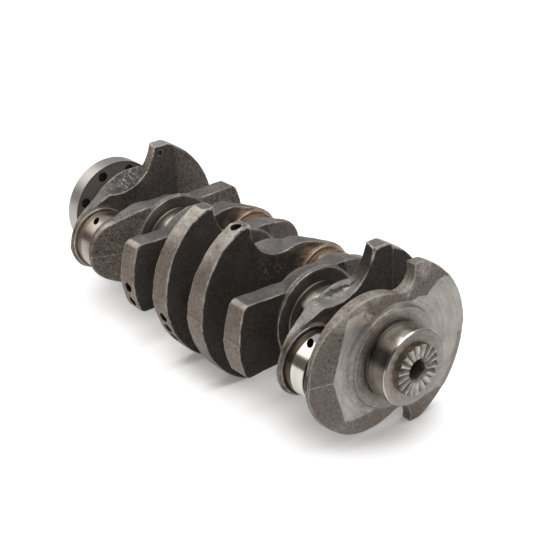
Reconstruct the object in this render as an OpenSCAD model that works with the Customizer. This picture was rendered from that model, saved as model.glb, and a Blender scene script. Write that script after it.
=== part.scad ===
// Forged crankshaft for a four-cylinder in-line engine, lying on its counterweights.
// The main axis is X, the nose points to +X and the forging's parting plane is Z = 0.

/* [Shaft layout] */
// distance between neighbouring main bearings
bore_pitch = 89; // [86:1:94]
// distance from the main axis to a crankpin axis
throw = 45.5; // [42:0.5:48]
// main journal diameter
main_d = 57; // [52:0.5:60]
// main journal width between its two webs
main_w = 24; // [22:0.5:26]
// width of the rear main journal up to the flange
rear_main_w = 22.5; // [21:0.5:26]
// crankpin diameter
pin_d = 48; // [44:0.5:50]
// crankpin width between its two webs
pin_w = 23; // [21:0.5:25]

/* [Nose] */
// length of the front main journal from the first web to its end face
nose_len = 18.5; // [16:0.5:22]
// thickness of the turned front web without its collar
nose_web_t = 10; // [9:0.5:12]
// height of the turned collar round the front main journal
nose_collar_h = 3; // [2:0.5:4]
// outer diameter of the serrated end boss
serration_d = 38; // [34:0.5:42]
// length of the serrated end boss
serration_len = 4.2; // [3.5:0.1:6]
// number of radial teeth on the end face
serration_teeth = 18; // [14:1:24]
// depth of a tooth at the outer edge of the boss
serration_depth = 2.2; // [1.4:0.1:2.6]
// share of a tooth pitch that stays flat on the crest
tooth_land = 0.16; // [0.1:0.02:0.3]
// tapping diameter of the centre bolt hole
nose_hole_d = 14.5; // [12:0.5:17]
// mouth diameter of the centre bolt hole
nose_mouth_d = 18.4; // [17.2:0.2:20]
// depth of the centre bolt hole from the end of the serrated boss
nose_hole_len = 31; // [24:0.5:34]

/* [Flange] */
// flywheel flange diameter, which is the rear oil seal diameter
flange_d = 85; // [80:0.5:92]
// flywheel flange thickness
flange_t = 14.2; // [12:0.2:18]
// wall left outside the flywheel bolt holes
flange_edge = 3.25; // [2.5:0.25:6]
// number of flywheel bolts
flange_bolts = 8; // [6:1:8]
// tapping diameter of a flywheel bolt hole
flange_hole_d = 8.5; // [7:0.5:9]
// diameter of the pilot bore in the rear face
pilot_d = 32; // [26:0.5:40]
// depth of the pilot bore
pilot_len = 9; // [6:0.5:12]

/* [Webs] */
// outer radius of the counterweights at the parting plane
cw_r = 71.5; // [69:0.5:74]
// half height of a wide counterweight, where its two flats lie
cw_half = 63; // [60:0.5:65]
// half height of a narrow counterweight
narrow_half = 27; // [24:0.5:29]
// how far the two die halves bulge past the parting plane
die_shift = 1.5; // [1:0.5:5]
// slip of the lower die half against the upper one
die_slip = 0.7; // [0.3:0.1:1.2]
// step from a wide counterweight down to the cheek beside its crankpin
cheek_drop = 0.8; // [0.4:0.1:1.2]
// wall left round a crankpin at the end of a web
lobe_lip = 3; // [2.5:0.25:4]
// wall left round a main journal at the neck of a web
neck_lip = 6; // [5:0.25:7.5]
// radius of the scoop between a middle wide counterweight and its web
notch_r = 28; // [24:0.5:30]
// radius of the scoop between an end wide counterweight and its web
scoop_r = 34; // [30:0.5:36]
// how far an end scoop drifts between the two faces of its web
scoop_drift = 7; // [4:0.5:10]
// radius of the scoop on the front web
nose_notch_r = 13; // [10:0.5:14]
// die draft of the web faces in degrees
web_draft = 2.5; // [1.5:0.25:3.5]
// height of the ground faces round the journals
boss_h = 0.8; // [0.5:0.1:1.2]
// rounding of the outer corners of a narrow counterweight
corner_r = 9; // [4:0.5:10]
// radius of the turned ring round a main journal
ring_lip = 9.3; // [8:0.1:10]
// rim left at the end of a web after its bevel
rim_t = 5; // [4:0.25:7]
// rim left at the end of the front web after its bevel
nose_rim_t = 4.5; // [3.5:0.25:6]
// ridge angle of a bevel at the parting plane in degrees
bevel_ridge = 7; // [4:0.5:9]

/* [Drillings] */
// diameter of the oilways
oil_d = 5; // [4:0.25:6]
// diameter of the balance drillings
balance_d = 8; // [6:0.5:9]
// depth of the balance drillings
balance_len = 14; // [10:1:18]
// diameter of the small drilling in the ear of the rear web
ear_hole_d = 4; // [3:0.5:5]
// depth of the small drilling in the ear of the rear web
ear_hole_len = 6; // [4:0.5:8]
// width of the relief groove at the ends of a journal
relief_r = 1.5; // [1:0.1:2]

/* [Hidden] */
$fn = 96;
eps = 0.01;
web_t = bore_pitch / 2 - main_w / 2 - pin_w / 2;
main_r = main_d / 2;
pin_r = pin_d / 2;
x_pin = [1.5 * bore_pitch, 0.5 * bore_pitch, -0.5 * bore_pitch, -1.5 * bore_pitch];
x_main = [2 * bore_pitch, bore_pitch, 0, -bore_pitch, -2 * bore_pitch];
x_nose_web = x_pin[0] + pin_w / 2;
x_nose = x_nose_web + nose_web_t + nose_collar_h;
x_nose_end = x_nose + nose_len;
x_rear_main = x_main[4] + main_w / 2;
x_flange = x_rear_main - rear_main_w;
neck_r = main_r + neck_lip;
neck_z = neck_r - 1.5;
neck_u = throw * 0.52;
lobe_r = pin_r + lobe_lip;
ring_r = main_r + ring_lip;
hub_r = ring_r + 1.5;
notch_u = 6.5;
scoop_u = 20;
rear_scoop_u = scoop_u + 2;
scoop_bite = 0.6;
notch_cheek_u = -23;
scoop_cheek_u = -34.5;
ear_hole_u = -22;
ear_hole_z = cw_half - 6.5;
nose_notch_u = -8.5;
nose_bite = 0.6;
nose_skin = 1.8;
nose_lobe_u = 19;
nose_lobe_r = throw + lobe_r - 1.5 - nose_lobe_u;
side_flare = 0.035;
lean = asin((neck_r - lobe_r) / (throw - neck_u));
oil_angle = 62;
oil_shift = 1.5;
reach = 3 * cw_r;
flange_pcd = flange_d - flange_hole_d - 2 * flange_edge;

// turn a flat outline in throw and height into a slice along the shaft
module slice(x0, x1) {
    translate([x0, 0, 0])
        rotate([90, 0, 90])
            linear_extrude(height = x1 - x0)
                children();
}

// round bar along the shaft between two stations
module bar(x0, x1, r) {
    translate([x0, 0, 0])
        rotate([0, 90, 0])
            cylinder(h = x1 - x0, r = r);
}

// ring cut in the surface of a journal
module relief(x, r) {
    translate([x, 0, 0])
        rotate([0, 90, 0])
            rotate_extrude()
                translate([r, 0])
                    circle(r = relief_r, $fn = 24);
}

// counterweight disc made of two die halves that meet at the parting plane
module cw_disc() {
    r = sqrt(cw_r * cw_r + die_shift * die_shift);
    intersection() {
        translate([0, die_shift])
            circle(r = r);
        translate([0, -die_shift])
            circle(r = r);
    }
}

// outline of the part of a web that carries the crankpin
module lobe() {
    sl = sin(lean);
    cl = cos(lean);
    translate([throw, 0])
        circle(r = lobe_r);
    translate([neck_u, 0])
        circle(r = neck_r);
    polygon([[neck_u + neck_r * sl, neck_r * cl],
             [throw + lobe_r * sl, lobe_r * cl],
             [throw + lobe_r * sl, -lobe_r * cl],
             [neck_u + neck_r * sl, -neck_r * cl]]);
    translate([0, -neck_z])
        square([neck_u, 2 * neck_z]);
    circle(r = neck_z);
}

// outline of a wide counterweight that ends in two flats
module wide_weight(u_end) {
    intersection() {
        cw_disc();
        translate([-reach, -cw_half])
            square([reach + u_end, 2 * cw_half]);
    }
}

// outline of a narrow counterweight that has two straight sides
module narrow_weight() {
    z_c = narrow_half + cw_r * side_flare - corner_r;
    u_c = -sqrt(pow(cw_r - corner_r, 2) - z_c * z_c);
    k = cw_r / (cw_r - corner_r);
    difference() {
        intersection() {
            cw_disc();
            polygon([[0, -narrow_half], [-reach, -narrow_half - reach * side_flare],
                     [-reach, narrow_half + reach * side_flare], [0, narrow_half]]);
        }
        for (s = [-1, 1])
            difference() {
                polygon([[u_c, s * z_c], [u_c * k, s * z_c * k], [u_c - 2 * corner_r, s * (z_c + 2 * corner_r)],
                         [u_c + side_flare * corner_r, s * (z_c + 2 * corner_r)]]);
                translate([u_c, s * z_c])
                    circle(r = corner_r, $fn = 32);
            }
    }
}

// pair of scoops above and below the web, drifting towards the counterweight on the main side
module scoops(u_pin, r, drift) {
    for (s = [-1, 1])
        translate([0, u_pin, s * (neck_z + r - scoop_bite)])
            rotate([0, 0, -atan(drift / web_t)])
                bar(-web_t, 2 * web_t, r);
}

// outline as two die halves that have slipped, where a turned web lies upside down
module die_halves(turned) {
    intersection() {
        children();
        translate([-reach, turned ? -2 * reach : 0])
            square([2 * reach, 2 * reach]);
    }
    translate([turned ? die_slip : -die_slip, 0])
        intersection() {
            children();
            translate([-reach, turned ? 0 : -2 * reach])
                square([2 * reach, 2 * reach]);
        }
}

// outline of the front web, which is almost a full disc with a scoop that runs into its lobe
module nose_outline() {
    span = nose_lobe_r + nose_notch_r - nose_bite;
    z_notch = sqrt(span * span - pow(nose_lobe_u - nose_notch_u, 2));
    u_end = nose_lobe_u + (nose_notch_u - nose_lobe_u) * nose_lobe_r / span;
    translate([nose_lobe_u, 0])
        circle(r = nose_lobe_r);
    difference() {
        wide_weight(u_end);
        for (s = [-1, 1])
            translate([nose_notch_u, s * z_notch])
                circle(r = nose_notch_r);
    }
}

// slab whose two faces lean together away from the parting plane
module draft_slab(t, back, front) {
    k = reach * tan(web_draft);
    translate([0, reach, 0])
        rotate([90, 0, 0])
            linear_extrude(height = 2 * reach)
                polygon([[back, 0], [back + k, reach], [t + front - k, reach],
                         [t + front, 0], [t + front - k, -reach], [back + k, -reach]]);
}

// bevel on the journal side of a web, with a ridge at the parting plane
module bevel(t, u0, rim, ridge) {
    slope = atan((t - rim) / (throw + lobe_r - u0));
    translate([t, u0, 0])
        rotate([0, 0, slope])
            for (s = [-1, 1])
                rotate([0, s * ridge, 0])
                    translate([0, -30, -reach])
                        cube([reach, 2 * reach, 2 * reach]);
}

// skin taken off the pin side of a wide web, from its counterweight to its crankpin
module cheek_cut(u) {
    k = reach * tan(web_draft);
    x = boss_h + cheek_drop;
    translate([0, u + 2 * reach, 0])
        rotate([90, 0, 0])
            linear_extrude(height = 2 * reach)
                polygon([[-web_t, reach], [x + k, reach], [x, 0], [x + k, -reach], [-web_t, -reach]]);
}

// raised faces round the two journals and the cone behind the turned ring
module web_faces(hub) {
    translate([0, throw, 0])
        bar(0, boss_h + cheek_drop + 2, lobe_r - 0.8);
    bar(web_t - boss_h - 2, web_t, ring_r);
    translate([web_t - boss_h - 1, 0, 0])
        rotate([0, -90, 0])
            cylinder(h = web_t - 2 * boss_h - 4, r1 = hub, r2 = neck_z - 1);
}

// web with a wide counterweight, pin side at zero and main side at the web thickness
module wide_web(turned, hub, u_pin, r, drift, u_cheek) {
    difference() {
        intersection() {
            slice(0, web_t)
                die_halves(turned) {
                    lobe();
                    wide_weight(u_pin);
                }
            draft_slab(web_t, boss_h, -boss_h);
        }
        scoops(u_pin, r, drift);
        cheek_cut(u_cheek);
        bevel(web_t - boss_h, ring_r - 2, rim_t, bevel_ridge);
    }
    web_faces(hub);
}

// web with a narrow counterweight, pin side at zero and main side at the web thickness
module narrow_web(turned) {
    difference() {
        intersection() {
            slice(0, web_t)
                die_halves(turned) {
                    lobe();
                    narrow_weight();
                }
            draft_slab(web_t, boss_h, -boss_h);
        }
        bevel(web_t - boss_h, ring_r - 2, rim_t, bevel_ridge);
    }
    web_faces(hub_r);
}

// thin front web with a turned face and a collar
module nose_blank() {
    difference() {
        intersection() {
            slice(0, nose_web_t)
                die_halves(true)
                    nose_outline();
            draft_slab(nose_web_t, -2.2, nose_skin);
        }
        bevel(nose_web_t, throw + lobe_r - 18.5, nose_rim_t, bevel_ridge - 2);
    }
    bar(1, nose_web_t + nose_collar_h, ring_r);
    translate([nose_web_t - 1, 0, 0])
        rotate([0, 90, 0])
            cylinder(h = 2.5, r1 = ring_r + 2.5, r2 = ring_r);
}

// oilway from the surface of a crankpin to the axis of a main journal
module oilway(pin, main) {
    side = (pin == 0 || pin == 3) ? -1 : 1;
    a = [x_pin[pin] + oil_shift, side * (throw + (pin_r + 2) * cos(oil_angle)), (pin_r + 2) * sin(oil_angle)];
    b = [x_main[main], 0, 0];
    d = b - a;
    n = norm(d);
    translate(a)
        rotate([0, acos(d[2] / n), atan2(d[1], d[0])])
            cylinder(h = n, d = oil_d, $fn = 32);
}

// feed drilling from the underside of a main journal to just past its axis
module feed(main) {
    translate([x_main[main], 0, -main_r - 1])
        cylinder(h = main_r + 1 + oil_d, d = oil_d + 1, $fn = 32);
}

// balance drilling into a counterweight rim at an angle round the main axis
module balance_hole(x, a) {
    rotate([a, 0, 0])
        translate([x, cw_r - balance_len, 0])
            rotate([-90, 0, 0])
                cylinder(h = balance_len + 10, d = balance_d, $fn = 32);
}

// centre bolt hole with its mouth
module nose_hole() {
    x_end = x_nose_end + serration_len;
    bar(x_end - nose_hole_len, x_end + 1, nose_hole_d / 2);
    translate([x_end - (nose_mouth_d - nose_hole_d) / 2, 0, 0])
        rotate([0, 90, 0])
            cylinder(h = (nose_mouth_d - nose_hole_d) / 2 + eps, r1 = nose_hole_d / 2,
                     r2 = nose_mouth_d / 2 + eps);
}

// plain main journal with a relief groove at each end
module main_bar(i) {
    x1 = x_main[i] + main_w / 2;
    x0 = x1 - (i == 4 ? rear_main_w : main_w);
    difference() {
        bar(x0, x1, main_r);
        relief(x0 + relief_r, main_r);
        relief(x1 - relief_r, main_r);
        children();
    }
}

// plain crankpin with a relief groove at each end and its oilway
module pin_bar(i, main) {
    side = (i == 0 || i == 3) ? -1 : 1;
    difference() {
        translate([0, side * throw, 0])
            difference() {
                bar(x_pin[i] - pin_w / 2, x_pin[i] + pin_w / 2, pin_r);
                relief(x_pin[i] - pin_w / 2 + relief_r, pin_r);
                relief(x_pin[i] + pin_w / 2 - relief_r, pin_r);
            }
        oilway(i, main);
    }
}

// web set beside its crankpin, on the nose side or the flange side of it
module web_place(pin, nose_side) {
    turn = (pin == 0 || pin == 3) ? 180 : 0;
    translate([x_pin[pin] + (nose_side ? 1 : -1) * pin_w / 2, 0, 0])
        rotate([turn, 0, 0])
            mirror([nose_side ? 0 : 1, 0, 0])
                children();
}

module nose_serration() {
    step = 360 / serration_teeth;
    r = serration_d / 2;
    lean_in = atan(serration_depth / r);
    wide = r * tan(step / 2) * (1 - tooth_land);
    color([0.62, 0.60, 0.58])
        difference() {
            bar(x_nose_end, x_nose_end + serration_len, r);
            nose_hole();
            for (i = [0 : serration_teeth - 1])
                translate([x_nose_end + serration_len, 0, 0])
                    rotate([i * step, 0, 0])
                        rotate([0, 0, lean_in])
                            rotate([-90, 0, 0])
                                translate([0, 0, r * 0.3])
                                    linear_extrude(height = r)
                                        polygon([[0, 0], [serration_depth * 1.5, wide * 1.5],
                                                 [serration_depth * 1.5, -wide * 1.5]]);
        }
}

module main_journal_1() {
    chamfer = 1.2;
    color([0.66, 0.64, 0.61])
        difference() {
            union() {
                bar(x_nose, x_nose_end - chamfer, main_r);
                translate([x_nose_end - chamfer, 0, 0])
                    rotate([0, 90, 0])
                        cylinder(h = chamfer, r1 = main_r, r2 = main_r - chamfer * 0.6);
            }
            relief(x_nose + relief_r, main_r);
            nose_hole();
        }
}

module main_journal_2() {
    color([0.66, 0.64, 0.61])
        main_bar(1) {
            oilway(0, 1);
            feed(1);
        }
}

module main_journal_3() {
    color([0.66, 0.64, 0.61])
        main_bar(2) {
            oilway(1, 2);
            feed(2);
        }
}

module main_journal_4() {
    color([0.66, 0.64, 0.61])
        main_bar(3) {
            oilway(2, 3);
            feed(3);
        }
}

module main_journal_5() {
    color([0.66, 0.64, 0.61])
        main_bar(4) {
            oilway(3, 4);
            feed(4);
        }
}

module crankpin_1() {
    color([0.72, 0.70, 0.66])
        pin_bar(0, 1);
}

module crankpin_2() {
    color([0.55, 0.44, 0.34])
        pin_bar(1, 2);
}

module crankpin_3() {
    color([0.55, 0.44, 0.34])
        pin_bar(2, 3);
}

module crankpin_4() {
    color([0.72, 0.70, 0.66])
        pin_bar(3, 4);
}

module web_1() {
    color([0.42, 0.40, 0.38])
        difference() {
            web_place(0, true)
                nose_blank();
            nose_hole();
        }
}

module web_2() {
    color([0.42, 0.40, 0.38])
        difference() {
            web_place(0, false)
                wide_web(true, hub_r, scoop_u, scoop_r, scoop_drift, scoop_cheek_u);
            oilway(0, 1);
        }
}

module web_3() {
    color([0.42, 0.40, 0.38])
        web_place(1, true)
            narrow_web(false);
}

module web_4() {
    color([0.42, 0.40, 0.38])
        difference() {
            web_place(1, false)
                wide_web(false, hub_r, notch_u, notch_r, 0, notch_cheek_u);
            oilway(1, 2);
            balance_hole(x_pin[1] - pin_w / 2 - web_t / 2, 116);
        }
}

module web_5() {
    color([0.42, 0.40, 0.38])
        difference() {
            web_place(2, true)
                wide_web(false, hub_r, notch_u, notch_r, 0, notch_cheek_u);
            for (a = [194, 203, 212])
                balance_hole(x_pin[2] + pin_w / 2 + web_t / 2, a);
        }
}

module web_6() {
    color([0.42, 0.40, 0.38])
        difference() {
            web_place(2, false)
                narrow_web(false);
            oilway(2, 3);
            for (a = [186, 197])
                balance_hole(x_pin[2] - pin_w / 2 - web_t / 2, a);
        }
}

module web_7() {
    color([0.42, 0.40, 0.38])
        web_place(3, true)
            narrow_web(true);
}

module web_8() {
    color([0.42, 0.40, 0.38])
        difference() {
            web_place(3, false)
                wide_web(true, hub_r + 6, rear_scoop_u, scoop_r, scoop_drift, scoop_cheek_u);
            oilway(3, 4);
            translate([x_pin[3] - pin_w / 2 - ear_hole_len, -ear_hole_u, ear_hole_z])
                rotate([0, 90, 0])
                    cylinder(h = 2 * ear_hole_len, d = ear_hole_d, $fn = 32);
        }
}

module flywheel_flange() {
    chamfer = 0.8;
    x_rear = x_flange - flange_t;
    color([0.74, 0.74, 0.72])
        difference() {
            union() {
                bar(x_rear + chamfer, x_flange, flange_d / 2);
                translate([x_rear, 0, 0])
                    rotate([0, 90, 0])
                        cylinder(h = chamfer, r1 = flange_d / 2 - chamfer, r2 = flange_d / 2);
            }
            bar(x_rear - 1, x_rear + pilot_len, pilot_d / 2);
            for (i = [0 : flange_bolts - 1])
                rotate([112 + i * 360 / flange_bolts, 0, 0])
                    translate([0, flange_pcd / 2, 0])
                        bar(x_rear - 1, x_flange + 1, flange_hole_d / 2);
        }
}

nose_serration();
main_journal_1();
main_journal_2();
main_journal_3();
main_journal_4();
main_journal_5();
crankpin_1();
crankpin_2();
crankpin_3();
crankpin_4();
web_1();
web_2();
web_3();
web_4();
web_5();
web_6();
web_7();
web_8();
flywheel_flange();
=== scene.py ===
import math

import bpy
from mathutils import Matrix, Vector


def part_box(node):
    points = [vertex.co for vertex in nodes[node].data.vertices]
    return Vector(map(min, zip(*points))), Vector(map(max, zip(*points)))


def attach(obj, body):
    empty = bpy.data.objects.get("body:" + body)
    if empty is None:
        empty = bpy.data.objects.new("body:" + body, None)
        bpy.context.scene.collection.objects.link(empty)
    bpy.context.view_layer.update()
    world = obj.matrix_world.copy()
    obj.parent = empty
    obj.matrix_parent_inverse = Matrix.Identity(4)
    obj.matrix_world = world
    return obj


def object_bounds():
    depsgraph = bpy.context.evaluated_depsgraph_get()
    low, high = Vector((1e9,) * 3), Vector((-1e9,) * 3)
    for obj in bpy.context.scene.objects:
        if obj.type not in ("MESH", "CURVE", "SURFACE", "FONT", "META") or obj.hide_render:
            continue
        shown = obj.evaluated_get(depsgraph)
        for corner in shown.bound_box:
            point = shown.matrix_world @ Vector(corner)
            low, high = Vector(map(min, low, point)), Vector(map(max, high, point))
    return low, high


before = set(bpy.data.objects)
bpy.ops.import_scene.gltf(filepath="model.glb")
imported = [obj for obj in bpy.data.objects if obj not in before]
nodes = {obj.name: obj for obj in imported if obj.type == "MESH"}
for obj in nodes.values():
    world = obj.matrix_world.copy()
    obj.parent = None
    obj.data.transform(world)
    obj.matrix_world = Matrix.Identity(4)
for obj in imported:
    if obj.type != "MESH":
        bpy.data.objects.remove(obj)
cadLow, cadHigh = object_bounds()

scene = bpy.context.scene
scene.view_settings.view_transform = "Standard"
print("crankshaft: frame loaded with", len(nodes), "nodes")


# small helpers for building shader trees
def addNode(tree, kind, values=None, links=None, **settings):
    made = tree.nodes.new(kind)
    for key, value in settings.items():
        setattr(made, key, value)
    for key, value in (values or {}).items():
        made.inputs[key].default_value = value
    for key, source in (links or {}).items():
        tree.links.new(source, made.inputs[key])
    return made


def emptyMaterial(name):
    material = bpy.data.materials.new(name)
    material.use_nodes = True
    material.node_tree.nodes.clear()
    return material, material.node_tree


def startMaterial(name):
    material, tree = emptyMaterial(name)
    shader = addNode(tree, "ShaderNodeBsdfPrincipled")
    output = addNode(tree, "ShaderNodeOutputMaterial")
    tree.links.new(shader.outputs["BSDF"], output.inputs["Surface"])
    return material, tree, shader


# a plain number is set on the socket, and what varies over the surface is linked to it
def fillShader(tree, shader, colour, metal, rough, normal, shine=0.5):
    shader.inputs["Specular IOR Level"].default_value = shine
    sources = {"Base Color": colour, "Metallic": metal, "Roughness": rough, "Normal": normal}
    for key, source in sources.items():
        if isinstance(source, float):
            shader.inputs[key].default_value = source
        else:
            tree.links.new(source, shader.inputs[key])


def placeOf(tree):
    return addNode(tree, "ShaderNodeTexCoord").outputs["Object"]


def axesOf(tree, vector):
    parts = addNode(tree, "ShaderNodeSeparateXYZ", links={0: vector})
    return parts.outputs["X"], parts.outputs["Y"], parts.outputs["Z"]


def normalOf(tree):
    return axesOf(tree, addNode(tree, "ShaderNodeTexCoord").outputs["Normal"])


def stretched(tree, place, factors):
    made = addNode(tree, "ShaderNodeVectorMath", links={0: place}, operation="MULTIPLY")
    made.inputs[1].default_value = factors
    return made.outputs["Vector"]


def noiseOf(tree, place, scale, detail, rough):
    values = {"Scale": scale, "Detail": detail, "Roughness": rough}
    return addNode(tree, "ShaderNodeTexNoise", values, {"Vector": place}).outputs["Fac"]


# noise that changes only with one value, such as a radius
def noiseAlong(tree, value, scale, detail, rough):
    place = addNode(tree, "ShaderNodeCombineXYZ", links={"X": value}).outputs["Vector"]
    return noiseOf(tree, place, scale, detail, rough)


def remap(tree, value, low, high, toLow=0.0, toHigh=1.0):
    values = {"From Min": low, "From Max": high, "To Min": toLow, "To Max": toHigh}
    made = addNode(tree, "ShaderNodeMapRange", values, {"Value": value}, clamp=True)
    return made.outputs["Result"]


# noise seen through a range, both under one name in the look
def patches(tree, place, look, key, detail, rough):
    return remap(tree, noiseOf(tree, place, look[key + "Scale"], detail, rough), *look[key])


# a share from nought to one, turned into a value
def lerp(tree, share, none, full):
    return remap(tree, share, 0.0, 1.0, none, full)


def calc(tree, operation, first, second=None):
    made = addNode(tree, "ShaderNodeMath", operation=operation)
    for index, value in enumerate((first, second)):
        if value is None:
            continue
        if isinstance(value, (int, float)):
            made.inputs[index].default_value = value
        else:
            tree.links.new(value, made.inputs[index])
    return made.outputs["Value"]


def times(tree, *values):
    made = values[0]
    for value in values[1:]:
        made = calc(tree, "MULTIPLY", made, value)
    return made


def plus(tree, first, second):
    return calc(tree, "ADD", first, second)


def minus(tree, first, second):
    return calc(tree, "SUBTRACT", first, second)


def larger(tree, first, second):
    return calc(tree, "MAXIMUM", first, second)


def smaller(tree, first, second):
    return calc(tree, "MINIMUM", first, second)


def apart(tree, value, middle):
    return calc(tree, "ABSOLUTE", minus(tree, value, middle))


# noise as a swing to both sides, for ragged borders
def swing(tree, noise, reach):
    return times(tree, minus(tree, noise, 0.5), reach)


# one between two places, falling off softly at both ends
def between(tree, value, start, end, rise, fall):
    rising = remap(tree, value, start, start + rise)
    return times(tree, rising, remap(tree, value, end, end - fall))


def blend(tree, factor, first, second, way="MIX"):
    made = addNode(tree, "ShaderNodeMix", data_type="RGBA", blend_type=way)
    for index, value in ((0, factor), (6, first), (7, second)):
        if isinstance(value, (int, float)):
            made.inputs[index].default_value = value
        elif isinstance(value, tuple):
            made.inputs[index].default_value = (*value, 1.0)
        else:
            tree.links.new(value, made.inputs[index])
    return made.outputs[2]


def shaded(tree, colour, factor):
    return blend(tree, 1.0, colour, factor, "MULTIPLY")


def toned(colour, factor):
    return tuple(value * factor for value in colour)


def bumpOf(tree, height, strength, distance, under=None):
    links = {"Height": height}
    if under is not None:
        links["Normal"] = under
    values = {"Strength": strength, "Distance": distance}
    return addNode(tree, "ShaderNodeBump", values, links).outputs["Normal"]


# crisp machined edges: a rounded normal, and where it turns away from the flat one, which is painted
# bright as wear and as a painted highlight
edgeTurn = (0.02, 0.2)


def edgeWear(tree, radius):
    rounded = addNode(tree, "ShaderNodeBevel", {"Radius": radius}, samples=6).outputs["Normal"]
    flat = addNode(tree, "ShaderNodeNewGeometry").outputs["Normal"]
    links = {0: rounded, 1: flat}
    along = addNode(tree, "ShaderNodeVectorMath", links=links, operation="DOT_PRODUCT")
    turned = minus(tree, 1.0, along.outputs["Value"])
    return rounded, remap(tree, turned, *edgeTurn)


# soft forged edges: how far the dense surface bulges
def bulge(tree, low, high, toLow=0.0):
    bent = addNode(tree, "ShaderNodeNewGeometry").outputs["Pointiness"]
    return remap(tree, bent, low, high, toLow)


def awayFrom(tree, first, second, centre):
    one = calc(tree, "POWER", minus(tree, first, centre[0]), 2.0)
    two = calc(tree, "POWER", minus(tree, second, centre[1]), 2.0)
    return calc(tree, "SQRT", plus(tree, one, two))


# distance from the shaft's own axis, for turned and ground rings
def radiusOf(tree, place):
    return awayFrom(tree, *axesOf(tree, place)[1:], (0.0, 0.0))


# surfaces that look along the shaft
def sideMask(tree, low, high):
    return remap(tree, calc(tree, "ABSOLUTE", normalOf(tree)[0]), low, high)


# blasted grain of a forging: coarse and fine noise in one value
grainLook = {"scale": 620.0, "fineRatio": 2.2, "fineShare": 0.35, "range": (0.36, 0.64)}


def grainOf(tree, place):
    look = grainLook
    fine = noiseOf(tree, place, look["scale"] * look["fineRatio"], 3.0, 0.6)
    coarse = noiseOf(tree, place, look["scale"], 4.0, 0.65)
    share = look["fineShare"]
    return plus(tree, times(tree, fine, share), times(tree, coarse, 1.0 - share))


def byGrain(tree, grain, low, high):
    return remap(tree, grain, *grainLook["range"], low, high)


# balance drillings in the rims, at angles round the shaft, and the small drilling in the rear ear,
# with walls painted dark as shade
drillLook = {
    "angles": {"web_4": (116,), "web_5": (194, 203, 212), "web_6": (186, 197)},
    "radius": 0.0043,
    "from": 0.0495,
    "earWeb": "web_8",
    "ear": (0.022, 0.0565),
    "earRadius": 0.0021,
    "soft": 0.0002,
    "wall": (0.040, 0.030, 0.022),
}


def drillMask(tree, place, name):
    look = drillLook
    soft = look["soft"]
    x, y, z = axesOf(tree, place)
    if name == look["earWeb"]:
        away = awayFrom(tree, y, z, look["ear"])
        return remap(tree, away, look["earRadius"] + soft, look["earRadius"] - soft)
    low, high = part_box(name)
    found = None
    for angle in look["angles"][name]:
        turn = math.radians(angle)
        out = plus(tree, times(tree, y, math.cos(turn)), times(tree, z, math.sin(turn)))
        across = minus(tree, times(tree, z, math.cos(turn)), times(tree, y, math.sin(turn)))
        away = awayFrom(tree, x, across, ((low.x + high.x) / 2, 0.0))
        inside = remap(tree, away, look["radius"] + soft, look["radius"] - soft)
        here = times(tree, inside, remap(tree, out, look["from"], look["from"] + soft))
        found = here if found is None else larger(tree, found, here)
    return found


# brown heat stain on the cheeks round the hardened crankpins
heatLook = {
    "reach": 0.015,
    "from": 0.002,
    "pastPin": (0.006, 0.003),
    "plain": (0.13, 0.098, 0.072),
    "oilAndPaintedLight": (0.44, 0.31, 0.215),
    "oilyPins": (2, 3),
    "patchScale": 75.0,
    "patch": (0.34, 0.58, 0.15, 0.95),
    "streakScale": 210.0,
    "streak": (0.38, 0.58, 0.25, 1.3),
    "streakShape": (1.0, 0.45, 1.0),
}


def heatStain(tree, place, name, base):
    look = heatLook
    pin = (int(name[-1]) + 1) // 2
    low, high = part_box("crankpin_" + str(pin))
    middle = (low + high) / 2
    half = (high.x - low.x) / 2
    radius = (high.z - low.z) / 2
    x, y, z = axesOf(tree, place)
    away = awayFrom(tree, y, z, (middle.y, middle.z))
    near = remap(tree, apart(tree, x, middle.x), *(half + past for past in look["pastPin"]))
    close = remap(tree, away, radius + look["reach"], radius + look["from"])
    uneven = patches(tree, place, look, "patch", 4.0, 0.6)
    tone = look["oilAndPaintedLight"] if pin in look["oilyPins"] else look["plain"]
    along = stretched(tree, place, look["streakShape"])
    tone = shaded(tree, tone, patches(tree, along, look, "streak", 4.0, 0.65))
    return blend(tree, times(tree, near, close, uneven), base, tone)


# fettling on a neck: a hollow hatched by a file
hatchLook = {
    "web": "web_8",
    "upward": (0.0, 0.4),
    "from": -0.030,
    "to": 0.018,
    "rise": 0.010,
    "fall": 0.006,
    "scale": 800.0,
    "shape": (0.22, 1.0, 0.6),
    "patchScale": 70.0,
    "patch": (0.40, 0.56, 0.15, 1.0),
    "dark": (0.085, 0.080, 0.075),
    "darkLines": (0.62, 0.48, 0.5, 0.95),
    "bright": (0.42, 0.40, 0.38),
    "brightLines": (0.54, 0.62),
}


def hatched(tree, place, upward, grain, base):
    look = hatchLook
    y = axesOf(tree, place)[1]
    inner = between(tree, y, look["from"], look["to"], look["rise"], look["fall"])
    mask = times(tree, remap(tree, upward, *look["upward"]), inner)
    lines = noiseOf(tree, stretched(tree, place, look["shape"]), look["scale"], 3.0, 0.6)
    patch = patches(tree, place, look, "patch", 3.0, 0.5)
    dark = times(tree, mask, remap(tree, lines, *look["darkLines"]))
    bright = times(tree, mask, patch, remap(tree, lines, *look["brightLines"]))
    base = blend(tree, dark, base, look["dark"])
    base = blend(tree, bright, base, look["bright"])
    return base, blend(tree, mask, grain, lines)
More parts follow.
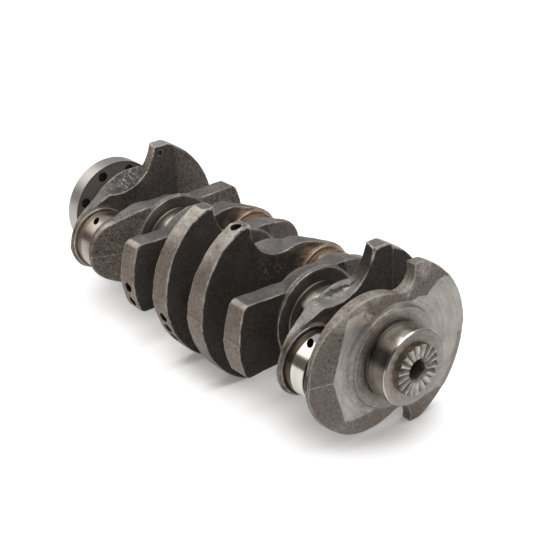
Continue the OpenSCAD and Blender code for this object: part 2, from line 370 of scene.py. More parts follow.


# one gouge in a neck, painted dark in its groove as shade, with a bright lip and a round nick beside
# it lit as painted highlights
gougeLook = {
    "web": "web_2",
    "start": (0.1050, -0.0200),
    "end": (0.1112, 0.0085),
    "fade": 0.004,
    "width": 0.0016,
    "depth": 0.6,
    "lip": 0.0012,
    "lipBreaks": (0.42, 0.56),
    "wobbleScale": 160.0,
    "wobble": 0.006,
    "nick": (0.1098, -0.0296),
    "nickRadius": 0.0018,
    "nickEdge": (0.0008, 0.0002),
    "nickSide": (0.001, -0.0005),
    "nickBreaks": (0.44, 0.56, 0.1, 0.9),
    "dark": (0.050, 0.046, 0.043),
    "darkShare": 0.9,
    "bright": (0.64, 0.61, 0.58),
}


def gouged(tree, place, upward, grain, base):
    look = gougeLook
    x, y = axesOf(tree, place)[:2]
    start, end = Vector(look["start"]), Vector(look["end"])
    length = (end - start).length
    way = (end - start).normalized()
    fromX = minus(tree, x, start.x)
    fromY = minus(tree, y, start.y)
    along = plus(tree, times(tree, fromX, way.x), times(tree, fromY, way.y))
    across = minus(tree, times(tree, fromX, way.y), times(tree, fromY, way.x))
    wobble = noiseOf(tree, place, look["wobbleScale"], 4.0, 0.6)
    across = plus(tree, across, swing(tree, wobble, look["wobble"]))
    ends = times(tree, between(tree, along, 0.0, length, look["fade"], look["fade"]), upward)
    aside = calc(tree, "ABSOLUTE", across)
    groove = times(tree, ends, remap(tree, aside, look["width"], look["width"] / 3))
    beside = apart(tree, across, look["width"] + look["lip"] / 2)
    lip = times(tree, ends, remap(tree, beside, look["lip"], 0.0))
    lip = times(tree, lip, remap(tree, wobble, *look["lipBreaks"]))
    away = awayFrom(tree, x, y, look["nick"])
    nick = remap(tree, apart(tree, away, look["nickRadius"]), *look["nickEdge"])
    half = remap(tree, y, *(look["nick"][1] + side for side in look["nickSide"]))
    nick = times(tree, nick, upward, half, remap(tree, wobble, *look["nickBreaks"]))
    # painted shade in the groove, painted highlights on the lip and the nick
    base = blend(tree, times(tree, groove, look["darkShare"]), base, look["dark"])
    base = blend(tree, larger(tree, lip, nick), base, look["bright"])
    return base, minus(tree, grain, times(tree, groove, look["depth"]))


# painted light and shade on an ear: darker on the side towards its crankpin, paler on the other
paintedEarLook = {"web": "web_8", "across": (0.033, 0.039), "dark": 0.66, "pale": 1.32}


def earShaded(tree, place, side, base):
    look = paintedEarLook
    shade = remap(tree, axesOf(tree, place)[1], *look["across"], look["dark"], look["pale"])
    return shaded(tree, base, blend(tree, side, (1.0, 1.0, 1.0), shade))


# painted shade on the flank between a neck and an ear, and a painted light line along the seam on
# that ear
paintedFlankLook = {
    "web": "web_2",
    "foot": (0.036, 0.042),
    "inner": (0.0, 0.004),
    "turn": (-0.35, -0.65),
    "tone": 0.34,
}
paintedSeamLook = {"web": "web_2", "across": 0.0342, "width": 0.0016, "turn": (0.3, 0.6), "tone": 2.2}


def flankShaded(tree, place, base):
    look = paintedFlankLook
    y, z = axesOf(tree, place)[1:]
    turned = remap(tree, normalOf(tree)[1], *look["turn"])
    flank = times(tree, remap(tree, z, *look["foot"]), turned, remap(tree, y, *look["inner"]))
    return shaded(tree, base, lerp(tree, flank, 1.0, look["tone"]))


# painted light: a pale line that hides the shade in the crease of the ear
def seamed(tree, place, base):
    look = paintedSeamLook
    beside = apart(tree, axesOf(tree, place)[1], look["across"])
    turned = remap(tree, normalOf(tree)[0], *look["turn"])
    seam = times(tree, remap(tree, beside, look["width"], 0.0), turned)
    return shaded(tree, base, lerp(tree, seam, 1.0, look["tone"]))


# painted glints on one face: bright specks in its colour
paintedGlintLook = {
    "web": "web_4",
    "sparkleScale": 420.0,
    "sparkle": (0.50, 0.62),
    "tone": (0.19, 0.165, 0.145),
    "from": -0.020,
    "to": 0.014,
    "soft": 0.008,
    "foot": (0.012, 0.018),
    "strength": 0.9,
}


def glinting(tree, place, side, base):
    look = paintedGlintLook
    y, z = axesOf(tree, place)[1:]
    sparkle = patches(tree, place, look, "sparkle", 3.0, 0.6)
    oilAndPaintedLight = times(tree, between(tree, y, look["from"], look["to"], look["soft"], look["soft"]), side)
    oilAndPaintedLight = times(tree, oilAndPaintedLight, remap(tree, z, *look["foot"], 0.0, look["strength"]))
    return blend(tree, times(tree, oilAndPaintedLight, sparkle), base, look["tone"])


# painted light: a paler slope that leads up to a neck: from and to across the web, and its foot
paintedSlopeLook = {
    "webs": {"web_4": (0.008, 0.034, 0.026), "web_8": (-0.006, 0.013, 0.034)},
    "tone": (0.19, 0.168, 0.150),
    "rise": 0.008,
    "fall": 0.006,
    "strength": 0.9,
}


def sloped(tree, place, side, name, base):
    look = paintedSlopeLook
    start, end, foot = look["webs"][name]
    y, z = axesOf(tree, place)[1:]
    slope = times(tree, between(tree, y, start, end, look["rise"], look["fall"]), side)
    slope = times(tree, slope, remap(tree, z, foot, foot + look["fall"]), look["strength"])
    return blend(tree, slope, base, look["tone"])


# as-forged steel: dark blasted faces, brown rims, greyer tops that are a painted sky reflection,
# rubbed edges partly lit by a painted highlight, and a parting line
forgedLook = {
    "face": (0.056, 0.048, 0.042),
    "rim": (0.240, 0.198, 0.168),
    "skyReflectedTop": (0.235, 0.222, 0.210),
    "edge": (0.66, 0.61, 0.56),
    "shoulderSheen": (0.65, 0.59, 0.53),
    "faceRoughness": 0.58,
    "rimRoughness": 0.43,
    "roughSpread": 0.14,
    "faceMetal": 0.3,
    "rimMetal": 0.75,
    "sideTurn": (0.72, 0.95),
    "upTurn": (0.55, 0.85),
    "shine": 0.3,
    "grainStrength": 0.9,
    "grainDepth": 0.0014,
    "rimSpeckle": 0.34,
    "faceSpeckle": 0.45,
    "topSpeckle": 0.5,
    "pitScale": 470.0,
    "pits": (0.58, 0.70),
    "pitTone": 0.6,
    "blotchScale": 55.0,
    "blotch": (0.3, 0.7, 0.72, 1.22),
    # painted light and shade: tones of the faces, the tops, an ear's plateau, the lower half and the
    # inner corners
    "paintedFaceTone": 1.0,
    "paintedTopTone": 1.0,
    "plateau": (0.052, 0.056),
    "paintedPlateauTone": 1.0,
    "lower": (0.0005, -0.0005),
    "paintedLowerTone": 1.0,
    "paintedCornerShade": 0.8,
    "partingWidth": 0.0006,
    "partingSwing": 0.002,
    "partingShare": 0.4,
    "partingFade": (0.0, 0.6, 1.0, 0.0),
    "partedFace": False,
}
# what each web has of its own, and the light and shade painted on it
webLooks = {
    "web_2": {"paintedFaceTone": 1.1, "paintedTopTone": 1.4, "paintedCornerShade": 1.0},
    "web_3": {"paintedFaceTone": 0.95, "paintedTopTone": 0.85},
    "web_4": {},
    "web_5": {"paintedFaceTone": 1.4},
    "web_6": {"paintedFaceTone": 1.4, "paintedTopTone": 0.8},
    "web_7": {
        "paintedFaceTone": 3.0,
        "paintedLowerTone": 1.25,
        "faceSpeckle": 0.75,
        "pitTone": 0.30,
        "partedFace": True,
    },
    "web_8": {
        "paintedFaceTone": 2.3,
        "paintedPlateauTone": 1.9,
        "faceSpeckle": 0.60,
        "pitTone": 0.40,
        "partedFace": True,
    },
}
# painted sheen on the shoulders of the rims, turned outwards and up, in patches like rubbed metal
shoulderSheenLook = {
    "outward": 0.5,
    "upward": 0.86,
    "turn": (0.87, 0.985),
    "radius": (0.056, 0.062),
    "patchScale": 90.0,
    "patch": (0.36, 0.60, 0.35, 1.0),
    "share": 0.95,
}
# edges rubbed bright, brighter higher up as a painted highlight: how sharp, how high and how patchy,
# and the chipped crowns of the ears
rubAndSheenLook = {
    "bulge": (0.516, 0.538),
    "outward": (0.1, 0.5),
    "height": (-0.03, 0.05, 0.3, 1.0),
    "patchScale": 130.0,
    "patch": (0.38, 0.62, 0.15, 1.0),
    "crown": (0.050, 0.057),
    "crownBulge": (0.508, 0.526),
    "chipScale": 240.0,
    "chip": (0.40, 0.54),
    "cornerBulge": (0.470, 0.495),
}


# surfaces that look away from the shaft's axis
def outwardMask(tree, place):
    y, z = axesOf(tree, place)[1:]
    turnY, turnZ = normalOf(tree)[1:]
    out = plus(tree, times(tree, turnY, y), times(tree, turnZ, z))
    return remap(tree, calc(tree, "DIVIDE", out, radiusOf(tree, place)), *rubAndSheenLook["outward"])


# painted sheen: where a rim turns outwards and up
def shoulderMask(tree, place):
    look = shoulderSheenLook
    y, z = normalOf(tree)[1:]
    outward = times(tree, calc(tree, "ABSOLUTE", y), look["outward"])
    toward = plus(tree, outward, times(tree, z, look["upward"]))
    patchy = patches(tree, place, look, "patch", 5.0, 0.65)
    outer = remap(tree, radiusOf(tree, place), *look["radius"])
    return times(tree, remap(tree, toward, *look["turn"]), patchy, outer, look["share"])


# painted light and shade: each web's faces, tops, plateau and lower half are toned to how the light
# falls on it
def forgedTones(tree, place, side, upward, look):
    z = axesOf(tree, place)[2]
    raised = remap(tree, z, *look["plateau"], 1.0, look["paintedPlateauTone"])
    # painted reflection: tops that face up are greyer, as if reflecting the sky
    skyReflectedTop = shaded(tree, toned(look["skyReflectedTop"], look["paintedTopTone"]), raised)
    rim = blend(tree, upward, look["rim"], skyReflectedTop)
    rim = blend(tree, shoulderMask(tree, place), rim, look["shoulderSheen"])
    base = blend(tree, side, rim, toned(look["face"], look["paintedFaceTone"]))
    return shaded(tree, base, remap(tree, z, *look["lower"], 1.0, look["paintedLowerTone"]))


# speckle, pits and blotches of the blasted skin, weaker on the tops
def speckled(tree, place, grain, side, upward, base, look):
    strength = lerp(tree, side, look["rimSpeckle"], look["faceSpeckle"])
    strength = times(tree, strength, lerp(tree, upward, 1.0, look["topSpeckle"]))
    speckle = plus(tree, times(tree, strength, byGrain(tree, grain, -1.0, 1.0)), 1.0)
    pits = noiseOf(tree, place, look["pitScale"], 2.0, 0.5)
    pits = remap(tree, pits, *look["pits"], 1.0, look["pitTone"])
    blotch = patches(tree, place, look, "blotch", 5.0, 0.6)
    return shaded(tree, base, times(tree, blotch, speckle, pits))


# bright line where the dies met, and bright edges, most on the ears and the upper rims: rubbed wear,
# and a painted highlight that grows with height
def rubbedEdges(tree, place, grain, side, base, look):
    rubAndSheen = rubAndSheenLook
    z = axesOf(tree, place)[2]
    line = calc(tree, "ABSOLUTE", plus(tree, z, swing(tree, grain, look["partingSwing"])))
    parting = remap(tree, line, look["partingWidth"], 0.0, 0.0, look["partingShare"])
    if not look["partedFace"]:
        parting = times(tree, parting, remap(tree, side, *look["partingFade"]))
    patchy = patches(tree, place, rubAndSheen, "patch", 4.0, 0.65)
    # painted highlight: edges grow brighter with height
    high = remap(tree, z, *rubAndSheen["height"])
    rubbedAndLit = times(tree, bulge(tree, *rubAndSheen["bulge"]), patchy, high, outwardMask(tree, place))
    chips = patches(tree, place, rubAndSheen, "chip", 4.0, 0.7)
    crown = times(tree, remap(tree, z, *rubAndSheen["crown"]), bulge(tree, *rubAndSheen["crownBulge"]), chips)
    bright = larger(tree, larger(tree, rubbedAndLit, crown), parting)
    base = blend(tree, bright, base, look["edge"])
    # painted shade: the inner corners are darkened
    return shaded(tree, base, bulge(tree, *rubAndSheen["cornerBulge"], look["paintedCornerShade"]))


def forgedSteel(name):
    look = {**forgedLook, **webLooks[name]}
    material, tree, shader = startMaterial("forged_" + name)
    place = placeOf(tree)
    grain = grainOf(tree, place)
    side = sideMask(tree, *look["sideTurn"])
    upward = remap(tree, normalOf(tree)[2], *look["upTurn"])
    height = grain
    base = forgedTones(tree, place, side, upward, look)
    if name in paintedSlopeLook["webs"]:
        base = sloped(tree, place, side, name, base)
    base = speckled(tree, place, grain, side, upward, base, look)
    if name == paintedEarLook["web"]:
        base = earShaded(tree, place, side, base)
    if name == paintedFlankLook["web"]:
        base = flankShaded(tree, place, base)
    if name == paintedSeamLook["web"]:
        base = seamed(tree, place, base)
    if name == paintedGlintLook["web"]:
        base = glinting(tree, place, side, base)
    base = heatStain(tree, place, name, base)
    if name == hatchLook["web"]:
        base, height = hatched(tree, place, upward, grain, base)
    if name == gougeLook["web"]:
        base, height = gouged(tree, place, upward, grain, base)
    base = rubbedEdges(tree, place, grain, side, base, look)
    # painted shade: the walls of the drillings are painted dark
    if name in drillLook["angles"] or name == drillLook["earWeb"]:
        base = blend(tree, drillMask(tree, place, name), base, drillLook["wall"])
    rough = lerp(tree, side, look["rimRoughness"], look["faceRoughness"])
    rough = plus(tree, rough, byGrain(tree, grain, look["roughSpread"], -look["roughSpread"]))
    metal = lerp(tree, side, look["rimMetal"], look["faceMetal"])
    normal = bumpOf(tree, height, look["grainStrength"], look["grainDepth"])
    fillShader(tree, shader, base, metal, rough, normal, look["shine"])
    return material


# ground journals and pins: fine rings round the axis, an oil film, and grooves at the ends darkened
# by stain and by painted shade
groundLook = {
    "colour": (0.56, 0.53, 0.50),
    "tint": (0.32, 0.25, 0.19),
    "tintShare": 0.5,
    "roughness": 0.24,
    "roughSpread": (-0.03, 0.04),
    "band": (0.0030, 0.0030),
    "bandSoft": (0.0005, -0.0002),
    "bandStainAndShade": (0.30, 0.27, 0.245),
    "bandSwing": 0.003,
    "bandRoughness": 0.2,
    "ringScale": 2600.0,
    "ringShape": (1.0, 0.02, 0.02),
    "rings": (0.3, 0.7, 0.95, 1.04),
    "ringStrength": 0.05,
    "ringDepth": 0.00002,
    "filmScale": 60.0,
    "film": (0.42, 0.66),
    "filmShape": (1.6, 0.6, 0.6),
}
# brown oil baked on the pins that lie on the far side
oilPinLook = {
    "colour": (0.46, 0.35, 0.26),
    "tint": (0.22, 0.15, 0.10),
    "tintShare": 0.8,
    "roughness": 0.30,
    "band": (0.0040, 0.0040),
    "bandStainAndShade": (0.24, 0.165, 0.115),
}
groundLooks = {
    "main_journal_1": {
        "colour": (0.66, 0.62, 0.565),
        "tint": (0.34, 0.27, 0.21),
        "roughness": 0.19,
        "band": (0.0030, 0.0),
        "bandStainAndShade": (0.12, 0.105, 0.09),
    },
    # main_journal_2 is a darker copy of the ground steel, painted shade that tones down its highlight
    "main_journal_2": {
        "colour": (0.36, 0.34, 0.32),
        "tint": (0.15, 0.12, 0.095),
        "tintShare": 0.8,
        "roughness": 0.22,
        "bandStainAndShade": (0.20, 0.18, 0.16),
    },
    "crankpin_1": {
        "colour": (0.70, 0.67, 0.635),
        "tint": (0.42, 0.34, 0.27),
        "tintShare": 0.35,
        "roughness": 0.13,
        "band": (0.0070, 0.0040),
        "bandStainAndShade": (0.085, 0.066, 0.050),
    },
    "crankpin_2": oilPinLook,
    "crankpin_3": oilPinLook,
    "crankpin_4": {
        "colour": (0.45, 0.41, 0.37),
        "tint": (0.25, 0.195, 0.15),
        "tintShare": 0.7,
        "roughness": 0.27,
        "band": (0.0062, 0.0040),
        "bandStainAndShade": (0.25, 0.20, 0.16),
    },
}
# nose: painted shade on the flank under the crown and on the foot, a painted highlight on the crown,
# and an end face with turned marks, a brown stain, a top darkened as painted shade and a bore painted
# dark as shade
noseLook = {
    "low": (0.20, 0.40),
    "high": (0.64, 0.74),
    "flankSide": (0.0, -0.3),
    "flankShade": 0.32,
    "paintedFootTone": 0.86,
    "paintedCrownLight": 1.22,
    "endTurn": (0.9, 0.97),
    "end": (0.31, 0.285, 0.262),
    "endRoughness": 0.4,
    "stain": (0.30, 0.248, 0.205),
    "stainRadius": (0.0195, 0.0245),
    "stainSwing": 0.006,
    "upper": (0.004, 0.026),
    "upperShade": 0.7,
    "markScale": 700.0,
    "marks": (0.35, 0.65, 0.78, 1.16),
    "spotScale": 260.0,
    "spot": (0.35, 0.65, 0.84, 1.14),
    "bore": (0.10, 0.090, 0.082),
    "boreRadius": (0.0115, 0.0110),
    "boreMetal": 0.1,
}


# painted shade on the nose: the flank under the crown is darkened and the foot a little, and the
# crown is lightened as a painted highlight
def oilyFlank(tree, base):
    look = noseLook
    turnY, turnZ = normalOf(tree)[1:]
    oilAndPaintedLight = times(tree, remap(tree, turnZ, *look["low"]), remap(tree, turnZ, *look["high"], 1.0, 0.0))
    oilAndPaintedLight = times(tree, oilAndPaintedLight, remap(tree, turnY, *look["flankSide"]))
    base = shaded(tree, base, lerp(tree, oilAndPaintedLight, 1.0, look["flankShade"]))
    return shaded(tree, base, remap(tree, turnZ, *look["high"], look["paintedFootTone"], look["paintedCrownLight"]))


def noseEnd(tree, place, film, base, rough):
    look = noseLook
    side = sideMask(tree, *look["endTurn"])
    radius = radiusOf(tree, place)
    away = plus(tree, radius, swing(tree, film, look["stainSwing"]))
    clean = remap(tree, away, *look["stainRadius"])
    end = blend(tree, clean, look["stain"], look["end"])
    z = axesOf(tree, place)[2]
    marks = noiseAlong(tree, radius, look["markScale"], 3.0, 0.6)
    # painted shade: the end face is darker towards its top
    end = shaded(tree, end, remap(tree, z, *look["upper"], 1.0, look["upperShade"]))
    end = shaded(tree, end, remap(tree, marks, *look["marks"]))
    end = shaded(tree, end, patches(tree, place, look, "spot", 4.0, 0.65))
    base = blend(tree, side, base, end)
    rough = blend(tree, side, rough, (look["endRoughness"],) * 3)
    # painted shade: the wall of the nose's bore is painted dark
    bore = remap(tree, radius, *look["boreRadius"])
    return blend(tree, bore, base, look["bore"]), rough, lerp(tree, bore, 1.0, look["boreMetal"])


def groundSteel(name):
    look = {**groundLook, **groundLooks.get(name, {})}
    material, tree, shader = startMaterial("ground_" + name)
    place = placeOf(tree)
    x = axesOf(tree, place)[0]
    low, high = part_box(name)
    rings = noiseOf(tree, stretched(tree, place, look["ringShape"]), look["ringScale"], 2.0, 0.5)
    film = noiseOf(tree, stretched(tree, place, look["filmShape"]), look["filmScale"], 3.0, 0.5)
    tinted = remap(tree, film, *look["film"], 0.0, look["tintShare"])
    base = blend(tree, tinted, look["colour"], look["tint"])
    base = shaded(tree, base, remap(tree, rings, *look["rings"]))
    wave = swing(tree, film, look["bandSwing"])
    rear = minus(tree, minus(tree, x, low.x + look["band"][0]), wave)
    front = minus(tree, minus(tree, high.x - look["band"][1], x), wave)
    # the grooves at the ends: brown stain and painted shade, darkest on crankpin_1 and at the nose's
    # collar
    band = remap(tree, smaller(tree, rear, front), *look["bandSoft"])
    base = blend(tree, band, base, look["bandStainAndShade"])
    spread = (look["roughness"] + more for more in look["roughSpread"])
    rough = remap(tree, rings, 0.25, 0.75, *spread)
    rough = plus(tree, rough, times(tree, band, look["bandRoughness"]))
    metal = 1.0
    if name == "main_journal_1":
        base = oilyFlank(tree, base)
        base, rough, metal = noseEnd(tree, place, film, base, rough)
    normal = bumpOf(tree, rings, look["ringStrength"], look["ringDepth"])
    fillShader(tree, shader, base, metal, rough, normal)
    return material


# turned front web: broken rings on the face, dark forged skin where the cutter didn't reach
frontWebLook = {
    "turned": (0.42, 0.395, 0.370),
    "turnedRoughness": 0.42,
    "turnedMetal": 0.75,
    "skin": (0.205, 0.178, 0.158),
    "rim": (0.255, 0.220, 0.192),
    "speckle": (0.60, 1.42),
    "skinRoughness": 0.52,
    "skinMetal": 0.35,
    "pits": (0.57, 0.68, 1.0, 0.45),
    "upper": (-0.004, 0.004),
    "upperPits": 0.75,
    "foot": (-0.022, -0.040),
    "paintedFootTone": 1.35,
    "edge": (0.56, 0.52, 0.48),
    "edgeRadius": (0.046, 0.050),
    "edgeBreaks": (0.36, 0.62, 0.2, 0.9),
    "blotchScale": 60.0,
    "blotch": (0.3, 0.7, 0.80, 1.16),
    "tornScale": 140.0,
    "fineScale": 330.0,
    "partingWidth": 0.0008,
    "partingSwing": 0.004,
    "partingBreaks": (0.36, 0.54, 0.25, 0.8),
}
# where the cutter reached: below a ragged skin, above the foot, and all over the collar
cutLook = {
    "skinTop": 0.0370,
    "skinRise": 0.0072,
    "skinMiddle": 0.009,
    "skinSpan": (0.024, 0.034),
    "skinFoot": 0.0365,
    "footFall": 0.0095,
    "footSpan": (-0.022, 0.035),
    "footRadius": 0.0655,
    "upper": (-0.005, 0.005),
    "ragged": 0.010,
    "soft": 0.0006,
    "flat": (0.975, 0.992),
    "collar": (0.0410, 0.0400),
}
# rings from the cutter, darkening round the collar that is dirt and painted shade, and a soiled place
# with a coppery stain
cutterLook = {
    "ringScale": 950.0,
    "rings": (0.3, 0.7, 0.86, 1.10),
    "streakScale": 430.0,
    "streakTurns": 3.0,
    "streaks": (0.32, 0.68, 0.76, 1.20),
    "ringDepth": 0.15,
    "streakDepth": 0.25,
    "level": 0.3,
    "grimeAndShade": (0.105, 0.090, 0.078),
    "dirtAndShade": (0.0415, 0.024),
    "dirtAndShadeShare": 0.90,
    "dirtAndShadeLean": 0.10,
    "dirtAndShadeSwing": (0.014, 0.020),
    "copper": (0.52, 0.39, 0.30),
    "copperShare": 0.75,
    "copperFlecks": (0.46, 0.58),
    "copperPlace": (-0.020, 0.040),
    "copperRadius": (0.013, 0.002),
    "soilRadius": (0.022, 0.006),
    "soil": (0.38, 0.58, 0.25, 0.80),
}
# rubbed border, and rubbed places on shoulder, notch and ear, the one in the notch a painted
# highlight: across, up and radius
frontRubAndHighlightLook = {
    "worn": (0.64, 0.59, 0.54),
    "share": 0.48,
    "border": 0.004,
    "borderSide": (0.012, 0.0),
    "borderBreaks": (0.50, 0.60),
    "core": 0.4,
    "fineBreaks": (0.36, 0.56, 0.15, 1.0),
    "breaks": (0.40, 0.52, 0.35, 1.0),
    "places": (
        (-0.044, 0.044, 0.011),
        (-0.031, 0.049, 0.010),
        (-0.016, 0.0525, 0.008),
        (0.015, 0.046, 0.009),
        (0.031, 0.0585, 0.011),
    ),
}


def turnedArea(tree, place, torn):
    look = cutLook
    y, z = axesOf(tree, place)[1:]
    radius = radiusOf(tree, place)
    ragged = swing(tree, torn, look["ragged"])
    aside = apart(tree, y, look["skinMiddle"])
    roof = remap(tree, aside, *look["skinSpan"], look["skinTop"], look["skinTop"] + look["skinRise"])
    under = plus(tree, minus(tree, roof, z), ragged)
    sole = remap(tree, y, *look["footSpan"], look["skinFoot"], look["skinFoot"] + look["footFall"])
    over = plus(tree, plus(tree, sole, z), ragged)
    within = minus(tree, look["footRadius"], plus(tree, radius, ragged))
    within = larger(tree, within, remap(tree, z, *look["upper"]))
    inside = smaller(tree, smaller(tree, under, over), within)
    area = remap(tree, inside, -look["soft"], look["soft"])
    flat = remap(tree, normalOf(tree)[0], *look["flat"])
    collar = remap(tree, radius, *look["collar"])
    return larger(tree, times(tree, area, flat), collar), under


def turnedTones(tree, place, torn, fine):
    look = cutterLook
    y, z = axesOf(tree, place)[1:]
    radius = radiusOf(tree, place)
    turn = calc(tree, "ABSOLUTE", calc(tree, "ARCTAN2", z, y))
    outward = times(tree, radius, look["streakScale"])
    links = {"X": outward, "Y": times(tree, turn, look["streakTurns"])}
    streakPlace = addNode(tree, "ShaderNodeCombineXYZ", links=links).outputs["Vector"]
    streaks = noiseOf(tree, streakPlace, 1.0, 5.0, 0.7)
    rings = noiseAlong(tree, radius, look["ringScale"], 3.0, 0.6)
    base = shaded(tree, frontWebLook["turned"], remap(tree, rings, *look["rings"]))
    base = shaded(tree, base, remap(tree, streaks, *look["streaks"]))
    # dirt and painted shade round the collar, where the web meets the nose
    dirtAndShade = plus(tree, radius, times(tree, y, look["dirtAndShadeLean"]))
    for noise, reach in zip((torn, fine), look["dirtAndShadeSwing"]):
        dirtAndShade = plus(tree, dirtAndShade, swing(tree, noise, reach))
    dirtyAndShaded = remap(tree, dirtAndShade, *look["dirtAndShade"], 0.0, look["dirtAndShadeShare"])
    base = blend(tree, dirtyAndShaded, base, look["grimeAndShade"])
    aside = awayFrom(tree, y, z, look["copperPlace"])
    soiled = times(tree, remap(tree, aside, *look["soilRadius"]), remap(tree, torn, *look["soil"]))
    base = blend(tree, soiled, base, look["grimeAndShade"])
    flecks = remap(tree, fine, *look["copperFlecks"])
    copper = times(tree, remap(tree, aside, *look["copperRadius"]), flecks)
    base = blend(tree, times(tree, copper, look["copperShare"]), base, look["copper"])
    marks = times(tree, rings, look["ringDepth"])
    marks = plus(tree, marks, times(tree, streaks, look["streakDepth"]))
    return base, plus(tree, marks, look["level"])


def frontSkin(tree, place, grain):
    look = frontWebLook
    z = axesOf(tree, place)[2]
    skin = blend(tree, sideMask(tree, *forgedLook["sideTurn"]), look["rim"], look["skin"])
    skin = shaded(tree, skin, byGrain(tree, grain, *look["speckle"]))
    pits = remap(tree, noiseOf(tree, place, forgedLook["pitScale"], 2.0, 0.5), *look["pits"])
    least = remap(tree, z, *look["upper"], look["upperPits"], 0.0)
    skin = shaded(tree, skin, larger(tree, pits, least))
    # painted highlight: the skin grows lighter towards the foot of the bevel
    return shaded(tree, skin, remap(tree, z, *look["foot"], 1.0, look["paintedFootTone"]))


def frontRubs(tree, place, under, torn, fine):
    look = frontRubAndHighlightLook
    y, z = axesOf(tree, place)[1:]
    border = remap(tree, calc(tree, "ABSOLUTE", under), look["border"], 0.0)
    rubbedAndLit = times(tree, border, remap(tree, torn, *look["borderBreaks"]))
    rubbedAndLit = times(tree, rubbedAndLit, remap(tree, y, *look["borderSide"]))
    for across, up, reach in look["places"]:
        near = remap(tree, awayFrom(tree, y, z, (across, up)), reach, reach * look["core"])
        near = times(tree, near, remap(tree, fine, *look["fineBreaks"]))
        rubbedAndLit = larger(tree, rubbedAndLit, near)
    return times(tree, rubbedAndLit, remap(tree, torn, *look["breaks"]))


def turnedFrontWeb():
    look = frontWebLook
    material, tree, shader = startMaterial("turnedFrontWeb")
    place = placeOf(tree)
    z = axesOf(tree, place)[2]
    grain = grainOf(tree, place)
    torn = noiseOf(tree, place, look["tornScale"], 6.0, 0.7)
    fine = noiseOf(tree, place, look["fineScale"], 5.0, 0.7)
    cut, under = turnedArea(tree, place, torn)
    turned, marks = turnedTones(tree, place, torn, fine)
    base = blend(tree, cut, frontSkin(tree, place, grain), turned)
    rubbedAndLit = frontRubs(tree, place, under, torn, fine)
    base = blend(tree, times(tree, rubbedAndLit, frontRubAndHighlightLook["share"]), base, frontRubAndHighlightLook["worn"])
    base = shaded(tree, base, patches(tree, place, look, "blotch", 5.0, 0.6))
    # parting line on the bevel and bright edges
    line = calc(tree, "ABSOLUTE", plus(tree, z, swing(tree, torn, look["partingSwing"])))
    line = times(tree, remap(tree, line, look["partingWidth"], 0.0), lerp(tree, cut, 1.0, 0.0))
    line = times(tree, line, remap(tree, fine, *look["partingBreaks"]))
    edge = times(tree, bulge(tree, *rubAndSheenLook["bulge"]), remap(tree, torn, *look["edgeBreaks"]))
    edge = times(tree, edge, remap(tree, radiusOf(tree, place), *look["edgeRadius"]))
    base = blend(tree, larger(tree, edge, line), base, look["edge"])
    bare = larger(tree, cut, rubbedAndLit)
    metal = lerp(tree, bare, look["skinMetal"], look["turnedMetal"])
    rough = lerp(tree, bare, look["skinRoughness"], look["turnedRoughness"])
    height = blend(tree, cut, grain, marks)
    normal = bumpOf(tree, height, forgedLook["grainStrength"], forgedLook["grainDepth"])
    fillShader(tree, shader, base, metal, rough, normal, forgedLook["shine"])
    return material


# flange: ground rim, darker blued faces, and walls in the bolt holes painted dark as shade
flangeLook = {
    "rim": (0.50, 0.485, 0.46),
    "rimRadius": (0.0405, 0.0410),
    "rimMetal": 0.95,
    "face": (0.175, 0.164, 0.153),
    "faceTurn": (0.8, 0.95),
    "faceMetal": 0.4,
    "shine": 0.05,
    "hole": (0.012, 0.011, 0.010),
    "edge": (0.62, 0.60, 0.57),
    "edgeShare": 0.7,
    "edgeRadius": 0.0010,
    "ringScale": 1500.0,
    "ringShape": (1.0, 0.03, 0.03),
    "ringStrength": 0.02,
    "ringDepth": 0.00001,
    "smearScale": 40.0,
    "smear": (0.25, 0.75, 0.92, 1.06),
    "roughness": (0.25, 0.75, 0.36, 0.44),
}


def groundFlange():
    look = flangeLook
    material, tree, shader = startMaterial("groundFlange")
    place = placeOf(tree)
    rings = noiseOf(tree, stretched(tree, place, look["ringShape"]), look["ringScale"], 3.0, 0.6)
    smear = noiseOf(tree, place, look["smearScale"], 4.0, 0.6)
    side = sideMask(tree, *look["faceTurn"])
    rounded, wornAndLit = edgeWear(tree, look["edgeRadius"])
    atRim = remap(tree, radiusOf(tree, place), *look["rimRadius"])
    wall = blend(tree, atRim, look["hole"], look["rim"])
    base = blend(tree, side, wall, look["face"])
    base = shaded(tree, base, remap(tree, smear, *look["smear"]))
    base = blend(tree, times(tree, wornAndLit, atRim, look["edgeShare"]), base, look["edge"])
    metal = times(tree, atRim, lerp(tree, side, look["rimMetal"], look["faceMetal"]))
    rough = remap(tree, smear, *look["roughness"])
    normal = bumpOf(tree, rings, look["ringStrength"], look["ringDepth"], rounded)
    fillShader(tree, shader, base, metal, rough, normal, look["shine"])
    return material


# serrated end: milled teeth with painted shade in their roots, brown stain round the side, and a
# rough bore painted dark as shade
serrationLook = {
    "tooth": (0.52, 0.49, 0.455),
    "toothMetal": 0.95,
    "root": (0.11, 0.093, 0.078),
    "rootDepth": 0.0021,
    "crestDepth": 0.0002,
    "stain": (0.34, 0.28, 0.225),
    "stainRadius": (0.0184, 0.0189),
    "stainTurn": (0.45, 0.2),
    "bore": (0.20, 0.18, 0.16),
    "boreMetal": 0.1,
    "boreTurn": (0.9, 0.6),
    "boreRadius": (0.0094, 0.0090),
    "thread": (0.38, 0.60, 0.15, 1.5),
    "scratchScale": 1600.0,
    "scratches": (0.3, 0.7, 0.8, 1.14),
    "scratchStrength": 0.25,
    "scratchDepth": 0.00005,
    "smudgeScale": 220.0,
    "smudge": (0.35, 0.65, 0.6, 1.1),
    "roughness": (0.25, 0.75, 0.24, 0.38),
}


